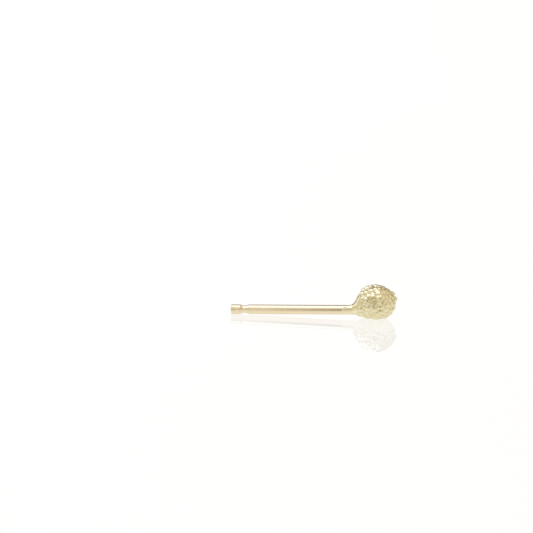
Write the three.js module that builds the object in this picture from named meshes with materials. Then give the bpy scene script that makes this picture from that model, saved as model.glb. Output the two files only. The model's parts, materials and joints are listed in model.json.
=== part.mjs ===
// A ball stud earring in yellow gold: a straight round ear post with a friction groove near its tip, and a ball of
// fused gold granules that stands off-centre on the post's other end. A flared solder neck joins them, so the whole
// stud is one solid.
//
// Units are millimetres. The stud is drawn with the post's axis along X and the ball at the +X end, and is then laid
// down as it rests by itself, on its ball and on the tip of its post: +Z is up, z = 0 is the surface under it, and
// the origin is under the middle of its bounding box.

import * as THREE from "three";

// Driving dimensions. Every x is measured from the ball's centre, along the post.
const POST_RADIUS = 0.405; // 20 gauge wire
const TIP_X = -12.27; // the post's free end
const BALL_RISE = 0.62; // the ball's centre stands this far above the post's axis
const BALL_RADIUS = 1.5; // out to the granules' tops
const SKIN_RADIUS = 1.35; // the body that the granules are fused to

// Post tip: a flat end with a rounded edge, then a shallow groove that an earring back snaps into.
const TIP_ROUND = 0.08;
const GROOVE = { start: -11.48, floorStart: -11.32, floorEnd: -10.98, end: -10.76, depth: 0.09 };

// The solder neck, from the plain post into the ball: each round section's radius, and how far its centre has risen
// from the post's axis towards the ball's centre. The last section lies on the ball's own skin.
const NECK = [
  { x: -2.24, rise: 0.0, radius: POST_RADIUS },
  { x: -2.06, rise: 0.05, radius: 0.465 },
  { x: -1.85, rise: 0.2, radius: 0.625 },
  { x: -1.68, rise: 0.36, radius: 0.8 },
  { x: -1.5, rise: 0.46, radius: 0.94 },
  { x: -1.3, rise: 0.54, radius: 1.04 },
  { x: -1.05, rise: 0.59, radius: 1.14 },
  { x: -0.75, rise: 0.61, radius: 1.24 },
  { x: -0.25, rise: BALL_RISE, radius: Math.sqrt(SKIN_RADIUS ** 2 - 0.25 ** 2) },
];

// Granules: spread evenly over the ball in a golden spiral, then shifted, sized and sunk unevenly. "proud" is how far
// a granule's top stands past BALL_RADIUS.
const GRANULES = { count: 170, shift: 0.36, seed: 305 };
const GRANULE_RADIUS = { smallest: 0.26, largest: 0.4 };
const GRANULE_PROUD = { least: -0.06, most: 0.01 };
const FUSE = 0.025; // how softly granules melt into each other
const BARE_NECK_END = -1.42; // the neck is smooth up to this x

// The ball is flatter underneath: except for its feet, no granule reaches lower than this below its centre.
const UNDERSIDE = 1.29;

// Granules that shape the ball's outline, by their direction from its centre in degrees: azimuth turns from +X
// towards +Y and elevation lifts towards +Z. The first two are the feet that the ball rests on.
const OUTSTANDING = [
  { azimuth: 105, elevation: -60, radius: 0.6, proud: -0.045 },
  { azimuth: -105, elevation: -60, radius: 0.6, proud: -0.045 },
  { azimuth: 12, elevation: 9, radius: 0.26, proud: 0.16 },
  { azimuth: 17, elevation: 26, radius: 0.3, proud: 0.12 },
  { azimuth: 168, elevation: 54, radius: 0.34, proud: 0.06 },
  { azimuth: 178, elevation: 42, radius: 0.28, proud: 0.05 },
  { azimuth: 154, elevation: 66, radius: 0.34, proud: 0.07 },
  { azimuth: 119, elevation: 75, radius: 0.34, proud: 0.05 },
  { azimuth: -2, elevation: -40, radius: 0.32, proud: 0.01 },
  { azimuth: 4, elevation: -20, radius: 0.3, proud: 0.04 },
  { azimuth: -12, elevation: -56, radius: 0.32, proud: -0.02 },
  { azimuth: -160, elevation: -50, radius: 0.5, proud: -0.02 },
];
const CLEARANCE = 0.23; // radians from a granule in that table to any other

// How finely the surface is divided.
const POST_SIDES = 48;
const BALL_SIDES = 96; // round its widest ring
const BALL_RINGS = 46;
const ROUND_RINGS = 3;
const FEWEST_SIDES = 8;

const SLOPE_STEP = 1e-4; // for slopes worked out from two close sections

const BALL_CENTRE = new THREE.Vector3(0, 0, BALL_RISE);
const GOLDEN_ANGLE = Math.PI * (3 - Math.sqrt(5));

// The ball's own axes: its rings turn about the line from its centre to where the neck leaves the post.
const TO_POST = new THREE.Vector3(NECK[0].x, 0, 0).sub(BALL_CENTRE).normalize();
const SIDEWAYS = new THREE.Vector3(0, 1, 0);
const UPWARDS = new THREE.Vector3(TO_POST.z, 0, -TO_POST.x);
const NECK_OPENING = THREE.MathUtils.degToRad(13); // the ball's rings stop here and the post's begin

// A repeatable number from 0 to 1 for granule i, one of a series.
function scatter(i, series) {
  const s = Math.sin(i * 12.9898 + (GRANULES.seed + series) * 78.233) * 43758.5453;
  return s - Math.floor(s);
}

// A column of the neck's table at x: a cubic through its rows, each row's slope taken from its two neighbours.
function neckAt(x, column) {
  const last = NECK.length - 1;
  let k = 0;
  while (k < last - 1 && x > NECK[k + 1].x) k++;
  const slope = (n) => {
    if (n === 0) return 0;
    const after = NECK[Math.min(n + 1, last)];
    return (after[column] - NECK[n - 1][column]) / (after.x - NECK[n - 1].x);
  };
  const step = NECK[k + 1].x - NECK[k].x;
  const t = (x - NECK[k].x) / step;
  const back = 1 - t;
  const fromStart = (1 + 2 * t) * NECK[k][column] + t * step * slope(k);
  const fromEnd = (1 + 2 * back) * NECK[k + 1][column] - back * step * slope(k + 1);
  return back * back * fromStart + t * t * fromEnd;
}

// Whether a point lies inside the smooth body of post, neck and ball that carries the granules.
function isInBody({ x, y, z }) {
  if (x < NECK[0].x) return Math.hypot(y, z) < POST_RADIUS;
  if (x < NECK[NECK.length - 1].x) return Math.hypot(y, z - neckAt(x, "rise")) < neckAt(x, "radius");
  return Math.hypot(x, y, z - BALL_RISE) < SKIN_RADIUS;
}

// How far that body reaches from the ball's centre along a unit direction.
function bodyReach(direction) {
  let inside = 0.5 * SKIN_RADIUS;
  let outside = 2 * SKIN_RADIUS;
  for (let halving = 0; halving < 30; halving++) {
    const middle = (inside + outside) / 2;
    if (isInBody(BALL_CENTRE.clone().addScaledVector(direction, middle))) inside = middle;
    else outside = middle;
  }
  return inside;
}

function directionOf({ azimuth, elevation }) {
  const turn = THREE.MathUtils.degToRad(azimuth);
  const lift = THREE.MathUtils.degToRad(elevation);
  return new THREE.Vector3(Math.cos(turn) * Math.cos(lift), Math.sin(turn) * Math.cos(lift), Math.sin(lift));
}

// The body's outward normal at a point of its surface given from the ball's centre: straight out from the ball, and
// leaning back along the neck by the neck's own slope.
function bodyNormal(point) {
  const { x } = point;
  const end = NECK[NECK.length - 1].x;
  if (x >= end) return point.clone().normalize();
  const around = new THREE.Vector3(0, point.y, point.z + BALL_RISE - neckAt(x, "rise")).normalize();
  const widening = (neckAt(x + SLOPE_STEP, "radius") - neckAt(x, "radius")) / SLOPE_STEP;
  const climbing = (neckAt(x + SLOPE_STEP, "rise") - neckAt(x, "rise")) / SLOPE_STEP;
  return around.clone().setX(-widening - climbing * around.z).normalize();
}

// A granule is a small sphere sunk into the body, with its centre measured from the ball's.
function granule(direction, radius, proud) {
  const footing = direction.clone().multiplyScalar(bodyReach(direction));
  const height = BALL_RADIUS - SKIN_RADIUS + proud - radius;
  return { centre: footing.addScaledVector(bodyNormal(footing), height), radius };
}

function makeGranules() {
  const taken = OUTSTANDING.map(directionOf);
  const granules = OUTSTANDING.map((row, i) => granule(taken[i], row.radius, row.proud));
  const spacing = Math.sqrt((4 * Math.PI) / GRANULES.count);
  const { lerp } = THREE.MathUtils;
  for (let i = 0; i < GRANULES.count; i++) {
    const along = 1 - (2 * i + 1) / GRANULES.count;
    const wide = Math.sqrt(1 - along * along);
    const shift = new THREE.Vector3(scatter(i, 1) - 0.5, scatter(i, 2) - 0.5, scatter(i, 3) - 0.5);
    const direction = new THREE.Vector3(along, 0, wide)
      .applyAxisAngle(new THREE.Vector3(1, 0, 0), i * GOLDEN_ANGLE)
      .addScaledVector(shift, 2 * GRANULES.shift * spacing)
      .normalize();
    const isCrowded = taken.some((other) => direction.angleTo(other) < CLEARANCE);
    const isOnNeck = direction.x * bodyReach(direction) < BARE_NECK_END;
    if (isCrowded || isOnNeck) continue;
    const radius = lerp(GRANULE_RADIUS.smallest, GRANULE_RADIUS.largest, scatter(i, 4));
    const proud = lerp(GRANULE_PROUD.most, GRANULE_PROUD.least, scatter(i, 5));
    const { centre } = granule(direction, radius, proud);
    centre.z = Math.max(centre.z, radius - UNDERSIDE);
    granules.push({ centre, radius });
  }
  return granules;
}

// The ball's surface along a unit direction from its centre: the highest of the body and the granules there, with
// their meeting lines melted by a soft maximum.
function ballPoint(direction, granules) {
  const reach = bodyReach(direction);
  let sum = 1;
  for (const { centre, radius } of granules) {
    const towards = direction.dot(centre);
    const half = radius * radius - centre.lengthSq() + towards * towards;
    if (towards > 0 && half > 0) sum += Math.exp((towards + Math.sqrt(half) - reach) / FUSE);
  }
  return BALL_CENTRE.clone().addScaledVector(direction, reach + FUSE * Math.log(sum));
}

// A ring of points, one for each of its sides.
function ringOf(sides, pointAt) {
  return Array.from({ length: sides }, (_, side) => pointAt((2 * Math.PI * side) / sides));
}

function postRing(x, radius) {
  return ringOf(POST_SIDES, (turn) => new THREE.Vector3(x, radius * Math.cos(turn), radius * Math.sin(turn)));
}

// A ring of the ball's surface, opening by an angle from the line to the post, with sides of an even length.
function ballRing(opening, granules) {
  const sides = Math.max(Math.round(BALL_SIDES * Math.sin(opening)), FEWEST_SIDES);
  return ringOf(sides, (turn) => {
    const direction = TO_POST.clone()
      .multiplyScalar(Math.cos(opening))
      .addScaledVector(SIDEWAYS, Math.sin(opening) * Math.cos(turn))
      .addScaledVector(UPWARDS, Math.sin(opening) * Math.sin(turn));
    return ballPoint(direction, granules);
  });
}

// The post's rings, from the rounded edge of its flat end to the start of the neck.
function postRings() {
  const rings = [];
  for (let k = 0; k <= ROUND_RINGS; k++) {
    const turn = (k / ROUND_RINGS) * (Math.PI / 2);
    const radius = POST_RADIUS - TIP_ROUND * (1 - Math.sin(turn));
    rings.push(postRing(TIP_X + TIP_ROUND * (1 - Math.cos(turn)), radius));
  }
  rings.push(postRing(GROOVE.start, POST_RADIUS));
  rings.push(postRing(GROOVE.floorStart, POST_RADIUS - GROOVE.depth));
  rings.push(postRing(GROOVE.floorEnd, POST_RADIUS - GROOVE.depth));
  rings.push(postRing(GROOVE.end, POST_RADIUS));
  rings.push(postRing(NECK[0].x, POST_RADIUS));
  return rings;
}

function ballRings(granules) {
  return Array.from({ length: BALL_RINGS }, (_, k) => {
    return ballRing(THREE.MathUtils.lerp(NECK_OPENING, Math.PI, k / BALL_RINGS), granules);
  });
}

// Joins a stack of rings, each with as many points as it likes, into one surface that closes on the single point of
// its first and last rings. Between two rings it goes round both, always stepping on where it is further behind.
function skinOver(rings) {
  const faces = [];
  let start = 0;
  for (let k = 0; k + 1 < rings.length; k++) {
    const near = rings[k].length;
    const far = rings[k + 1].length;
    const nearPoint = (side) => start + (side % near);
    const farPoint = (side) => start + near + (side % far);
    let i = 0;
    let j = 0;
    while (i < near || j < far) {
      if (j === far || (i < near && (i + 1) / near <= (j + 1) / far)) {
        if (near > 1) faces.push(nearPoint(i), nearPoint(i + 1), farPoint(j));
        i++;
      } else {
        if (far > 1) faces.push(nearPoint(i), farPoint(j + 1), farPoint(j));
        j++;
      }
    }
    start += near;
  }
  const geometry = new THREE.BufferGeometry().setFromPoints(rings.flat());
  geometry.setIndex(faces);
  return geometry;
}

// Tips the stud about Y until its ball and its post's tip touch the ground together, and moves it over the origin.
function layDown(geometry) {
  const lowest = (isWanted) => {
    const position = geometry.attributes.position;
    const found = new THREE.Vector3(0, 0, Infinity);
    for (let i = 0; i < position.count; i++) {
      const point = new THREE.Vector3().fromBufferAttribute(position, i);
      if (isWanted(point) && point.z < found.z) found.copy(point);
    }
    return found;
  };
  for (let settle = 0; settle < 3; settle++) {
    const ball = lowest((point) => point.x > NECK[0].x);
    const tip = lowest((point) => point.x < GROOVE.start);
    geometry.rotateY(Math.atan2(ball.z - tip.z, ball.x - tip.x));
  }
  geometry.computeBoundingBox();
  const { min, max } = geometry.boundingBox;
  return geometry.translate(-(min.x + max.x) / 2, -(min.y + max.y) / 2, -min.z);
}

function makeStud() {
  const granules = makeGranules();
  const tip = new THREE.Vector3(TIP_X, 0, 0);
  const farSide = ballPoint(TO_POST.clone().negate(), granules);
  const geometry = skinOver([[tip], ...postRings(), ...ballRings(granules), [farSide]]);
  const gold = new THREE.MeshStandardMaterial({ color: 0xe9d9a8, roughness: 0.25, metalness: 1 });
  const stud = new THREE.Mesh(layDown(geometry), gold);
  stud.name = "ball_stud";
  return stud;
}

const earring = new THREE.Group();
earring.add(makeStud());
export default earring;
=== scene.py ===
"""A ball stud earring in pale yellow gold, lying on a glossy white table under soft studio light.

The stud is one piece, as it is when cast and soldered: a post with a friction groove, a flared neck, and a
ball of fused granules. Its surface is drawn in the stud's own axes, in metres: X runs along the post from the
tip to the ball, and the origin is on the post's axis below the ball's centre. Then it is laid where the
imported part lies.
"""

import json
import math

import bpy
import numpy as np
from mathutils import Matrix, Vector, noise


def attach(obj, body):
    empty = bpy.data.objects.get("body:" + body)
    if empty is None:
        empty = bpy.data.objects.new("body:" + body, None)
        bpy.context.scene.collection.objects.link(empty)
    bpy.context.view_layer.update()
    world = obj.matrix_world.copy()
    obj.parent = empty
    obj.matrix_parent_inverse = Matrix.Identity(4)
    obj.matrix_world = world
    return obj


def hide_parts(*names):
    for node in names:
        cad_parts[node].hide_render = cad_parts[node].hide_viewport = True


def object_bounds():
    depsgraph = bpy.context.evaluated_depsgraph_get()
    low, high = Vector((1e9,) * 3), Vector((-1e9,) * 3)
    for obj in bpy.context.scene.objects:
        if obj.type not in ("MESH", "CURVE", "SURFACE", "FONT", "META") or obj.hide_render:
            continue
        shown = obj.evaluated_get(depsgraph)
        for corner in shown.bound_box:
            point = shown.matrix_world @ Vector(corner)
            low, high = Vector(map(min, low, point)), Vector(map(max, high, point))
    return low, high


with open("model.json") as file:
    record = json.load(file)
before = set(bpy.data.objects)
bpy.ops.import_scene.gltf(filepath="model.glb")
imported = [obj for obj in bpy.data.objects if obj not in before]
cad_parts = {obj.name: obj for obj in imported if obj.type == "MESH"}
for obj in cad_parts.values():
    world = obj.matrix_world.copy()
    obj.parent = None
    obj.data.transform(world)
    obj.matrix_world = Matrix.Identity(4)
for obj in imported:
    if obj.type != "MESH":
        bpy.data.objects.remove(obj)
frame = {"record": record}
part_low, part_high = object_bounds()

MM = 0.001
TAU = 2 * math.pi

# ----------------------------------------------------------------------------
# The stud's sizes, as the part's source gives them.

POST_RADIUS = 0.405 * MM  # 20 gauge wire
TIP_X = -12.27 * MM  # the post's free end
BALL_RISE = 0.62 * MM  # the ball's centre stands this far above the post's axis
BALL_RADIUS = 1.5 * MM  # out to the granules' tops
SKIN_RADIUS = 1.35 * MM  # the body that the granules are fused to

# Post tip: a flat end with a rounded edge, then a shallow groove that an earring back snaps into.
TIP_ROUND = 0.08 * MM
GROOVE_DEPTH = 0.09 * MM
GROOVE_START = -11.48 * MM
GROOVE_FLOOR_START = -11.32 * MM
GROOVE_FLOOR_END = -10.98 * MM
GROOVE_END = -10.76 * MM
GROOVE_SOFTNESS = 0.03 * MM  # how far its edges and corners are rounded
SOFTENING_SAMPLES = 9

# The neck's round sections: x, how far its centre has risen from the post's axis, and its radius.
NECK = np.array([
    (-2.24, 0.0, 0.405),
    (-2.06, 0.05, 0.465),
    (-1.85, 0.2, 0.625),
    (-1.68, 0.36, 0.8),
    (-1.5, 0.46, 0.94),
    (-1.3, 0.54, 1.04),
    (-1.05, 0.59, 1.14),
    (-0.75, 0.61, 1.24),
    (-0.25, BALL_RISE / MM, math.sqrt((SKIN_RADIUS / MM) ** 2 - 0.25 ** 2)),
]) * MM
NECK_X, NECK_RISE, NECK_RADIUS = NECK.T
BARE_NECK_END = -1.42 * MM  # the neck is smooth up to this x

# Granules: spread evenly over the ball in a golden spiral, then shifted, sized and sunk unevenly.
GRANULE_COUNT = 170
GRANULE_SHIFT = 0.36  # at most, along each axis, as a share of their spacing
GRANULE_SEED = 305
GRANULE_RADII = (0.26 * MM, 0.4 * MM)
GRANULE_PROUD = (-0.06 * MM, 0.01 * MM)  # how far a granule's top stands past BALL_RADIUS
FUSE = 0.025 * MM  # how softly granules melt into each other
CLEARANCE = 0.23  # radians from a granule in OUTSTANDING to any other
RELIEF = 0.006 * MM  # fine unevenness of the granules, which only the shown surface has
RELIEF_FINENESS = 10  # how many of its bumps fit in the ball's radius

# The ball is flatter underneath: except for its feet, no granule reaches lower than this below its centre.
UNDERSIDE = 1.29 * MM

# Granules that shape the outline: azimuth and elevation from the ball's centre in degrees, then radius and
# how far they stand proud, in millimetres. The first two are the feet that the ball rests on.
OUTSTANDING = [
    (105, -60, 0.6, -0.045),
    (-105, -60, 0.6, -0.045),
    (12, 9, 0.26, 0.16),
    (17, 26, 0.3, 0.12),
    (168, 54, 0.34, 0.06),
    (178, 42, 0.28, 0.05),
    (154, 66, 0.34, 0.07),
    (119, 75, 0.34, 0.05),
    (-2, -40, 0.32, 0.01),
    (4, -20, 0.3, 0.04),
    (-12, -56, 0.32, -0.02),
    (-160, -50, 0.5, -0.02),
]

# How finely the shown surface is divided.
POST_SIDES = 112
TIP_FLAT_RINGS = (0.5, 0.9)  # as shares of the flat end's radius
TIP_ROUND_RINGS = 9
GROOVE_RINGS = 60
GROOVE_MARGIN = 0.1 * MM  # those rings also cover this much of the plain post on either side
PLAIN_POST_RINGS = 12
BALL_SIDES = 500  # round its widest ring
BALL_RINGS = 232
FEWEST_SIDES = 8

HALVINGS = 30  # when the body's surface is searched for

# The ball's own axes: its rings turn about the line from its centre to where the neck leaves the post.
BALL_CENTRE = np.array([0, 0, BALL_RISE])
TO_POST = np.array([NECK_X[0], 0, 0]) - BALL_CENTRE
TO_POST /= np.linalg.norm(TO_POST)
SIDEWAYS = np.array([0, 1, 0])
UPWARDS = np.array([TO_POST[2], 0, -TO_POST[0]])
NECK_OPENING = math.radians(13)  # the ball's rings stop here and the post's begin


def length_of(vectors):
    return np.linalg.norm(vectors, axis=-1)


def unit(vectors):
    return vectors / length_of(vectors)[..., None]


# ----------------------------------------------------------------------------
# The smooth body: post, neck and ball, without granules.

def neck_at(x, column):
    """A column of the neck's table at each x: a cubic through its rows, with slopes from their neighbours."""
    slopes = np.zeros(len(NECK_X))
    slopes[1:-1] = (column[2:] - column[:-2]) / (NECK_X[2:] - NECK_X[:-2])
    slopes[-1] = (column[-1] - column[-2]) / (NECK_X[-1] - NECK_X[-2])
    k = np.clip(np.searchsorted(NECK_X, x, side="right") - 1, 0, len(NECK_X) - 2)
    step = NECK_X[k + 1] - NECK_X[k]
    t = (x - NECK_X[k]) / step
    back = 1 - t
    from_start = (1 + 2 * t) * column[k] + t * step * slopes[k]
    from_end = (1 + 2 * back) * column[k + 1] - back * step * slopes[k + 1]
    return back * back * from_start + t * t * from_end


def is_in_body(points):
    x, y, z = points.T
    neck_x = np.clip(x, NECK_X[0], NECK_X[-1])
    in_post = np.hypot(y, z) < POST_RADIUS
    in_neck = np.hypot(y, z - neck_at(neck_x, NECK_RISE)) < neck_at(neck_x, NECK_RADIUS)
    in_ball = length_of(points - BALL_CENTRE) < SKIN_RADIUS
    return np.where(x < NECK_X[0], in_post, np.where(x < NECK_X[-1], in_neck, in_ball))


def body_reach(directions):
    """How far the body reaches from the ball's centre along each unit direction."""
    inside = np.full(len(directions), 0.5 * SKIN_RADIUS)
    outside = np.full(len(directions), 2 * SKIN_RADIUS)
    for _ in range(HALVINGS):
        middle = (inside + outside) / 2
        is_inside = is_in_body(BALL_CENTRE + directions * middle[:, None])
        inside = np.where(is_inside, middle, inside)
        outside = np.where(is_inside, outside, middle)
    return inside


def body_normals(points):
    """The body's outward normals at points of its surface, given from the ball's centre."""
    slope_step = 1e-4 * MM
    x = np.clip(points[:, 0], NECK_X[0], NECK_X[-1] - slope_step)
    around = points + BALL_CENTRE
    around = unit(np.column_stack([0 * x, around[:, 1], around[:, 2] - neck_at(x, NECK_RISE)]))
    widening = (neck_at(x + slope_step, NECK_RADIUS) - neck_at(x, NECK_RADIUS)) / slope_step
    climbing = (neck_at(x + slope_step, NECK_RISE) - neck_at(x, NECK_RISE)) / slope_step
    around[:, 0] = -widening - climbing * around[:, 2]
    return np.where(points[:, :1] < NECK_X[-1], unit(around), unit(points))


# ----------------------------------------------------------------------------
# Granules

def scatter(i, series):
    """A repeatable number from 0 to 1 for granule i, one of a series."""
    s = math.sin(i * 12.9898 + (GRANULE_SEED + series) * 78.233) * 43758.5453
    return s - math.floor(s)


def direction_of(azimuth, elevation):
    turn, lift = math.radians(azimuth), math.radians(elevation)
    return np.array([math.cos(turn) * math.cos(lift), math.sin(turn) * math.cos(lift), math.sin(lift)])


def make_granules():
    """The granules' centres, from the ball's, and their radii."""
    taken = np.array([direction_of(azimuth, elevation) for azimuth, elevation, _, _ in OUTSTANDING])
    directions = list(taken)
    radii = [radius * MM for _, _, radius, _ in OUTSTANDING]
    proud = [height * MM for _, _, _, height in OUTSTANDING]
    spacing = math.sqrt(2 * TAU / GRANULE_COUNT)
    golden_angle = math.pi * (3 - math.sqrt(5))
    for i in range(GRANULE_COUNT):
        along = 1 - (2 * i + 1) / GRANULE_COUNT
        wide = math.sqrt(1 - along * along)
        turn = i * golden_angle
        shift = np.array([scatter(i, 1), scatter(i, 2), scatter(i, 3)]) - 0.5
        direction = np.array([along, -wide * math.sin(turn), wide * math.cos(turn)])
        direction = unit(direction + 2 * GRANULE_SHIFT * spacing * shift)
        is_crowded = np.any(taken @ direction > math.cos(CLEARANCE))
        is_on_neck = direction[0] * body_reach(direction[None])[0] < BARE_NECK_END
        if is_crowded or is_on_neck:
            continue
        directions.append(direction)
        radii.append(np.interp(scatter(i, 4), (0, 1), GRANULE_RADII))
        proud.append(np.interp(scatter(i, 5), (0, 1), GRANULE_PROUD[::-1]))
    directions, radii, proud = np.array(directions), np.array(radii), np.array(proud)
    footings = directions * body_reach(directions)[:, None]
    heights = BALL_RADIUS - SKIN_RADIUS + proud - radii
    centres = footings + body_normals(footings) * heights[:, None]
    others = slice(len(OUTSTANDING), None)
    centres[others, 2] = np.maximum(centres[others, 2], radii[others] - UNDERSIDE)
    return centres, radii


def ball_points(directions, granules):
    """The surface along each unit direction from the ball's centre, and how deep in a crease it is there."""
    centres, radii = granules
    reach = body_reach(directions)
    total = np.ones(len(directions))
    highest = np.ones(len(directions))
    for centre, radius in zip(centres, radii):
        towards = directions @ centre
        half = radius ** 2 - centre @ centre + towards ** 2
        over = (towards > 0) & (half > 0)
        swelling = np.exp((towards[over] + np.sqrt(half[over]) - reach[over]) / FUSE)
        total[over] += swelling
        highest[over] = np.maximum(highest[over], swelling)
    rough = np.array([noise.noise(direction) for direction in directions * RELIEF_FINENESS])
    reach += FUSE * np.log(total) + RELIEF * rough * (1 - 1 / total)
    return BALL_CENTRE + directions * reach[:, None], 1 - highest / total


# ----------------------------------------------------------------------------
# The mesh

def turns_of(sides):
    return TAU * np.arange(sides) / sides


def post_ring(x, radius):
    turn = turns_of(POST_SIDES)
    return np.column_stack([np.full(POST_SIDES, x), radius * np.cos(turn), radius * np.sin(turn)])


def post_rings():
    """The post's rings, from its flat end to the neck."""
    rings = []
    for share in TIP_FLAT_RINGS:
        rings.append(post_ring(TIP_X, share * (POST_RADIUS - TIP_ROUND)))
    for turn in np.linspace(0, math.pi / 2, TIP_ROUND_RINGS):
        x = TIP_X + TIP_ROUND * (1 - math.cos(turn))
        rings.append(post_ring(x, POST_RADIUS - TIP_ROUND * (1 - math.sin(turn))))
    for x in np.linspace(GROOVE_START - GROOVE_MARGIN, GROOVE_END + GROOVE_MARGIN, GROOVE_RINGS):
        rings.append(post_ring(x, groove_radius(x)))
    for x in np.linspace(GROOVE_END + 2 * GROOVE_MARGIN, NECK_X[0], PLAIN_POST_RINGS):
        rings.append(post_ring(x, POST_RADIUS))
    return rings


def groove_radius(x):
    """The post's radius at x, with the groove's edges and corners slightly rounded."""
    profile_x = (GROOVE_START, GROOVE_FLOOR_START, GROOVE_FLOOR_END, GROOVE_END)
    profile = (POST_RADIUS, POST_RADIUS - GROOVE_DEPTH, POST_RADIUS - GROOVE_DEPTH, POST_RADIUS)
    nearby = x + np.linspace(-GROOVE_SOFTNESS, GROOVE_SOFTNESS, SOFTENING_SAMPLES)
    return np.interp(nearby, profile_x, profile).mean()


def ball_rings():
    """The rings of neck and ball, from the post to the far end, and how deep in a crease each point is."""
    granules = make_granules()
    openings = np.linspace(NECK_OPENING, math.pi, BALL_RINGS, endpoint=False)
    counts = np.maximum(np.round(BALL_SIDES * np.sin(openings)).astype(int), FEWEST_SIDES)
    directions = []
    for opening, sides in zip(openings, counts):
        turn = turns_of(sides)[:, None]
        outwards = np.cos(turn) * SIDEWAYS + np.sin(turn) * UPWARDS
        directions.append(math.cos(opening) * TO_POST + math.sin(opening) * outwards)
    directions.append(-TO_POST[None])
    points, creases = ball_points(np.vstack(directions), granules)
    return np.split(points, np.cumsum(counts)), creases


def skin_over(rings):
    """Joins a stack of rings, each with as many points as it likes, into the faces of one closed surface."""
    faces = []
    start = 0
    for near_ring, far_ring in zip(rings, rings[1:]):
        near, far = len(near_ring), len(far_ring)
        i = j = 0
        while i < near or j < far:
            here, there = start + i % near, start + near + j % far
            if j == far or (i < near and (i + 1) * far <= (j + 1) * near):
                if near > 1:
                    faces.append((here, start + (i + 1) % near, there))
                i += 1
            else:
                if far > 1:
                    faces.append((here, start + near + (j + 1) % far, there))
                j += 1
        start += near
    return faces


def resting_place():
    """Where the stud's own axes lie in the frame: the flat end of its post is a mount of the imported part."""
    tip = next(mount for mount in frame["record"]["mounts"] if mount["name"] == "post_tip")
    along = -Vector(tip["axis"]).normalized()
    left = Vector((0, 1, 0))
    up = along.cross(left)
    origin = Vector(tip["pos_m"]) - along * TIP_X
    return Matrix.Translation(origin) @ Matrix((along, left, up)).transposed().to_4x4()


def make_stud():
    """The stud's whole skin. Its points carry the crease depths, which are 0 along the post."""
    rings, creases = ball_rings()
    rings = [np.array([[TIP_X, 0, 0]]), *post_rings(), *rings]
    points = np.vstack(rings)
    mesh = bpy.data.meshes.new("ball_stud_surface")
    mesh.from_pydata(points.tolist(), [], skin_over(rings))
    crease = mesh.attributes.new("crease", "FLOAT", "POINT")
    crease.data.foreach_set("value", np.pad(creases, (len(points) - len(creases), 0)))
    mesh.transform(resting_place())
    mesh.shade_smooth()
    mesh.validate()
    stud = bpy.data.objects.new("ball_stud_surface", mesh)
    bpy.context.collection.objects.link(stud)
    return stud


# ----------------------------------------------------------------------------
# Materials

POST_GOLD = (0.81, 0.695, 0.475, 1)
BALL_GOLD = (0.815, 0.735, 0.47, 1)
# Painted shade: the ball's creases between granules are coloured this darker gold, as if shade lay in them.
PAINTED_CREASE_SHADE = (0.64, 0.565, 0.33, 1)
DEEP_CREASE = 0.6  # creases this deep or deeper look the same
POST_ROUGHNESS = (0.06, 0.14)  # in its smoothest and roughest lines
BALL_ROUGHNESS = (0.25, 0.35)  # on the granules and in deep creases

# Where the post's colour and its polish turn into the ball's: from x to x in the frame, on the neck.
COLOUR_CHANGES = (2.4 * MM, 3.2 * MM)
POLISH_CHANGES = (3.2 * MM, 4.0 * MM)

LINES_PER_METRE = (0.4 / MM, 22 / MM, 22 / MM)  # along the post and across it
NOISE_RANGE = (0.3, 0.7)  # nearly all of a noise texture's values lie in this

TABLE_COLOUR = (0.06, 0.06, 0.06, 1)
TABLE_GLOW = 0.955
TABLE_IOR = 1.75
TABLE_ROUGHNESS = 0.03


def new_material(name):
    material = bpy.data.materials.new(name)
    material.use_nodes = True
    tree = material.node_tree
    return material, tree, tree.nodes["Principled BSDF"]


def fill(tree, socket, value):
    """Links the socket to another node's output, or sets it to a plain number or colour."""
    if isinstance(value, bpy.types.NodeSocket):
        tree.links.new(value, socket)
    else:
        socket.default_value = value


def ramp(tree, value, low, high, at_low=0.0, at_high=1.0, kind="LINEAR"):
    """A value that runs from at_low to at_high while the given one runs from low to high."""
    node = tree.nodes.new("ShaderNodeMapRange")
    node.interpolation_type = kind
    tree.links.new(value, node.inputs["Value"])
    node.inputs["From Min"].default_value = low
    node.inputs["From Max"].default_value = high
    node.inputs["To Min"].default_value = at_low
    node.inputs["To Max"].default_value = at_high
    return node.outputs["Result"]


def mixture(tree, kind, share, first, second):
    """The first of two colours or numbers where the share is 0, and the second where it is 1."""
    node = tree.nodes.new("ShaderNodeMix")
    node.data_type = kind
    tree.links.new(share, node.inputs["Factor"])
    fill(tree, node.inputs["A"], first)
    fill(tree, node.inputs["B"], second)
    return node.outputs["Result"]


def drawn_lines(tree, place):
    """Fine uneven lines along the post, left from drawing its wire."""
    squeeze = tree.nodes.new("ShaderNodeMapping")
    squeeze.inputs["Scale"].default_value = LINES_PER_METRE
    tree.links.new(place, squeeze.inputs["Vector"])
    lines = tree.nodes.new("ShaderNodeTexNoise")
    lines.inputs["Scale"].default_value = 1.0
    tree.links.new(squeeze.outputs["Vector"], lines.inputs["Vector"])
    return lines.outputs["Fac"]


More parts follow.
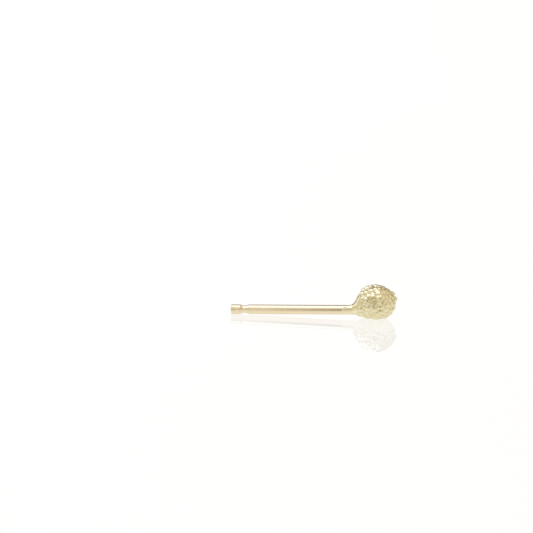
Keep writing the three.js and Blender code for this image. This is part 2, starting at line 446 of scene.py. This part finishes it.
def gold_material():
    """Pale gold: a polished wire post, and a greener ball that is duller between its granules, with painted
    shade darkening its colour in the creases.
    """
    material, tree, shader = new_material("pale_yellow_gold")
    shader.inputs["Metallic"].default_value = 1.0
    place = tree.nodes.new("ShaderNodeTexCoord").outputs["Object"]
    along = tree.nodes.new("ShaderNodeSeparateXYZ")
    tree.links.new(place, along.inputs["Vector"])
    on_ball = ramp(tree, along.outputs["X"], *COLOUR_CHANGES)
    crease = tree.nodes.new("ShaderNodeAttribute")
    crease.attribute_name = "crease"

    # Painted shade: the ball's colour turns darker the deeper the crease, up to DEEP_CREASE.
    crease_shade_share = ramp(tree, crease.outputs["Fac"], 0, DEEP_CREASE)
    ball_colour_with_shade = mixture(tree, "RGBA", crease_shade_share, BALL_GOLD, PAINTED_CREASE_SHADE)
    colour = mixture(tree, "RGBA", on_ball, POST_GOLD, ball_colour_with_shade)
    tree.links.new(colour, shader.inputs["Base Color"])

    post_roughness = ramp(tree, drawn_lines(tree, place), *NOISE_RANGE, *POST_ROUGHNESS)
    ball_roughness = ramp(tree, crease.outputs["Fac"], 0, DEEP_CREASE, *BALL_ROUGHNESS)
    past_neck = ramp(tree, along.outputs["X"], *POLISH_CHANGES)
    roughness = mixture(tree, "FLOAT", past_neck, post_roughness, ball_roughness)
    tree.links.new(roughness, shader.inputs["Roughness"])
    return material


def table_material():
    """A light table of white acrylic, which glows evenly under its gloss, so nothing casts a shadow on it."""
    material, _, shader = new_material("glossy_white_table")
    shader.inputs["Base Color"].default_value = TABLE_COLOUR
    shader.inputs["Specular IOR Level"].default_value = 0.0
    shader.inputs["Coat Weight"].default_value = 1.0
    shader.inputs["Coat IOR"].default_value = TABLE_IOR
    shader.inputs["Coat Roughness"].default_value = TABLE_ROUGHNESS
    shader.inputs["Emission Color"].default_value = (1, 1, 1, 1)
    shader.inputs["Emission Strength"].default_value = TABLE_GLOW
    return material


# ----------------------------------------------------------------------------
# Studio

def make_table():
    half = 1.0
    corners = [(-half, -half, 0), (half, -half, 0), (half, half, 0), (-half, half, 0)]
    mesh = bpy.data.meshes.new("table")
    mesh.from_pydata(corners, [], [(0, 1, 2, 3)])
    table = bpy.data.objects.new("table", mesh)
    bpy.context.collection.objects.link(table)
    table.data.materials.append(table_material())


def make_camera():
    azimuth, elevation = math.radians(6.53), math.radians(15)
    distance = 250 * MM
    frame_width = 44.3 * MM
    stud_left_of_middle = 3.93 * MM
    stud_below_middle = 2.77 * MM
    right = Vector((math.cos(azimuth), math.sin(azimuth), 0))
    level = Vector((math.sin(azimuth), -math.cos(azimuth), 0))
    back = level * math.cos(elevation) + Vector((0, 0, math.sin(elevation)))
    up = back.cross(right)
    looks_at = (part_low + part_high) / 2 - right * stud_left_of_middle + up * stud_below_middle
    camera = bpy.data.cameras.new("camera")
    camera.sensor_width = 36
    camera.lens = camera.sensor_width * distance / frame_width
    camera.clip_start, camera.clip_end = 0.01, 10
    holder = bpy.data.objects.new("camera", camera)
    bpy.context.collection.objects.link(holder)
    holder.location = looks_at + back * distance
    holder.rotation_euler = back.to_track_quat("Z", "Y").to_euler()
    bpy.context.scene.camera = holder


# The studio is a white tent with soft-edged cards and lamps in it. Each row is one of them: the azimuth and
# elevation of its middle, its half width, its half height and how wide its soft edge is, all in degrees, and
# then its colour. Azimuth 0 is +X and 90 is +Y. Later rows stand in front of earlier ones.
TENT = (1.1, 1.1, 1.1)
CARDS = [
    (0, 45, 80, 60, 40, (0.91, 0.84, 0.73)),
    (-160, 8, 40, 32, 20, (0.78, 0.74, 0.67)),
    (-30, 40, 11, 32, 8, (0.62, 0.56, 0.48)),
    (8, 42, 13, 36, 8, (1.05, 1.0, 0.92)),
    (48, 40, 16, 32, 8, (0.8, 0.73, 0.65)),
    (-140, 42, 12, 22, 8, (0.76, 0.72, 0.66)),
    (97, 42, 16, 18, 6, (0.19, 0.175, 0.16)),
    (120, 14, 15, 18, 6, (0.28, 0.24, 0.19)),
    (62, 12, 25, 16, 6, (0.45, 0.38, 0.3)),
    (-107, 10, 20, 21, 8, (0.98, 0.94, 0.87)),
    (-72, 13, 14, 25, 6, (0.8, 0.74, 0.64)),
    (-117, 14, 17, 7, 2, (0.36, 0.31, 0.24)),
    (-87.5, 10, 8.5, 22, 0.6, (0.12, 0.1, 0.075)),
    (189, 82.5, 30, 7.5, 4, (1.7, 1.7, 1.95)),
    (170, 52, 26, 18, 14, (1.5, 1.66, 2.12)),
]


def math_node(tree, operation, *values):
    node = tree.nodes.new("ShaderNodeMath")
    node.operation = operation
    for socket, value in zip(node.inputs, values):
        tree.links.new(value, socket)
    return node.outputs["Value"]


def share_within(tree, angle, half, edge):
    """How much of a card is seen at an angle from its middle: all of it inside, none past its soft edge."""
    off_middle = math_node(tree, "ABSOLUTE", angle)
    outer, inner = math.radians(half + edge / 2), math.radians(half - edge / 2)
    return ramp(tree, off_middle, outer, inner, kind="SMOOTHSTEP")


def share_of_card(tree, looking, azimuth, elevation, half_width, half_height, edge):
    """How much of a card is seen in each direction."""
    forward = direction_of(azimuth, elevation)
    sideways = direction_of(azimuth + 90, 0)
    along = []
    for axis in (forward, sideways, np.cross(forward, sideways)):
        dot = tree.nodes.new("ShaderNodeVectorMath")
        dot.operation = "DOT_PRODUCT"
        tree.links.new(looking, dot.inputs[0])
        dot.inputs[1].default_value = axis
        along.append(dot.outputs["Value"])
    across = math_node(tree, "ARCTAN2", along[1], along[0])
    height = math_node(tree, "ARCSINE", along[2])
    in_width = share_within(tree, across, half_width, edge)
    in_height = share_within(tree, height, half_height, edge)
    return math_node(tree, "MULTIPLY", in_width, in_height)


def light_studio():
    world = bpy.data.worlds.new("studio")
    bpy.context.scene.world = world
    world.use_nodes = True
    tree = world.node_tree
    looking = tree.nodes.new("ShaderNodeTexCoord").outputs["Generated"]
    colour = (*TENT, 1)
    for *card, card_colour in CARDS:
        share = share_of_card(tree, looking, *card)
        colour = mixture(tree, "RGBA", share, colour, (*card_colour, 1))
    tree.links.new(colour, tree.nodes["Background"].inputs["Color"])
    bpy.context.scene.view_settings.view_transform = "Standard"


make_table()
make_camera()
light_studio()
stud = make_stud()
stud.data.materials.append(gold_material())
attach(stud, "root")
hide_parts("ball_stud")
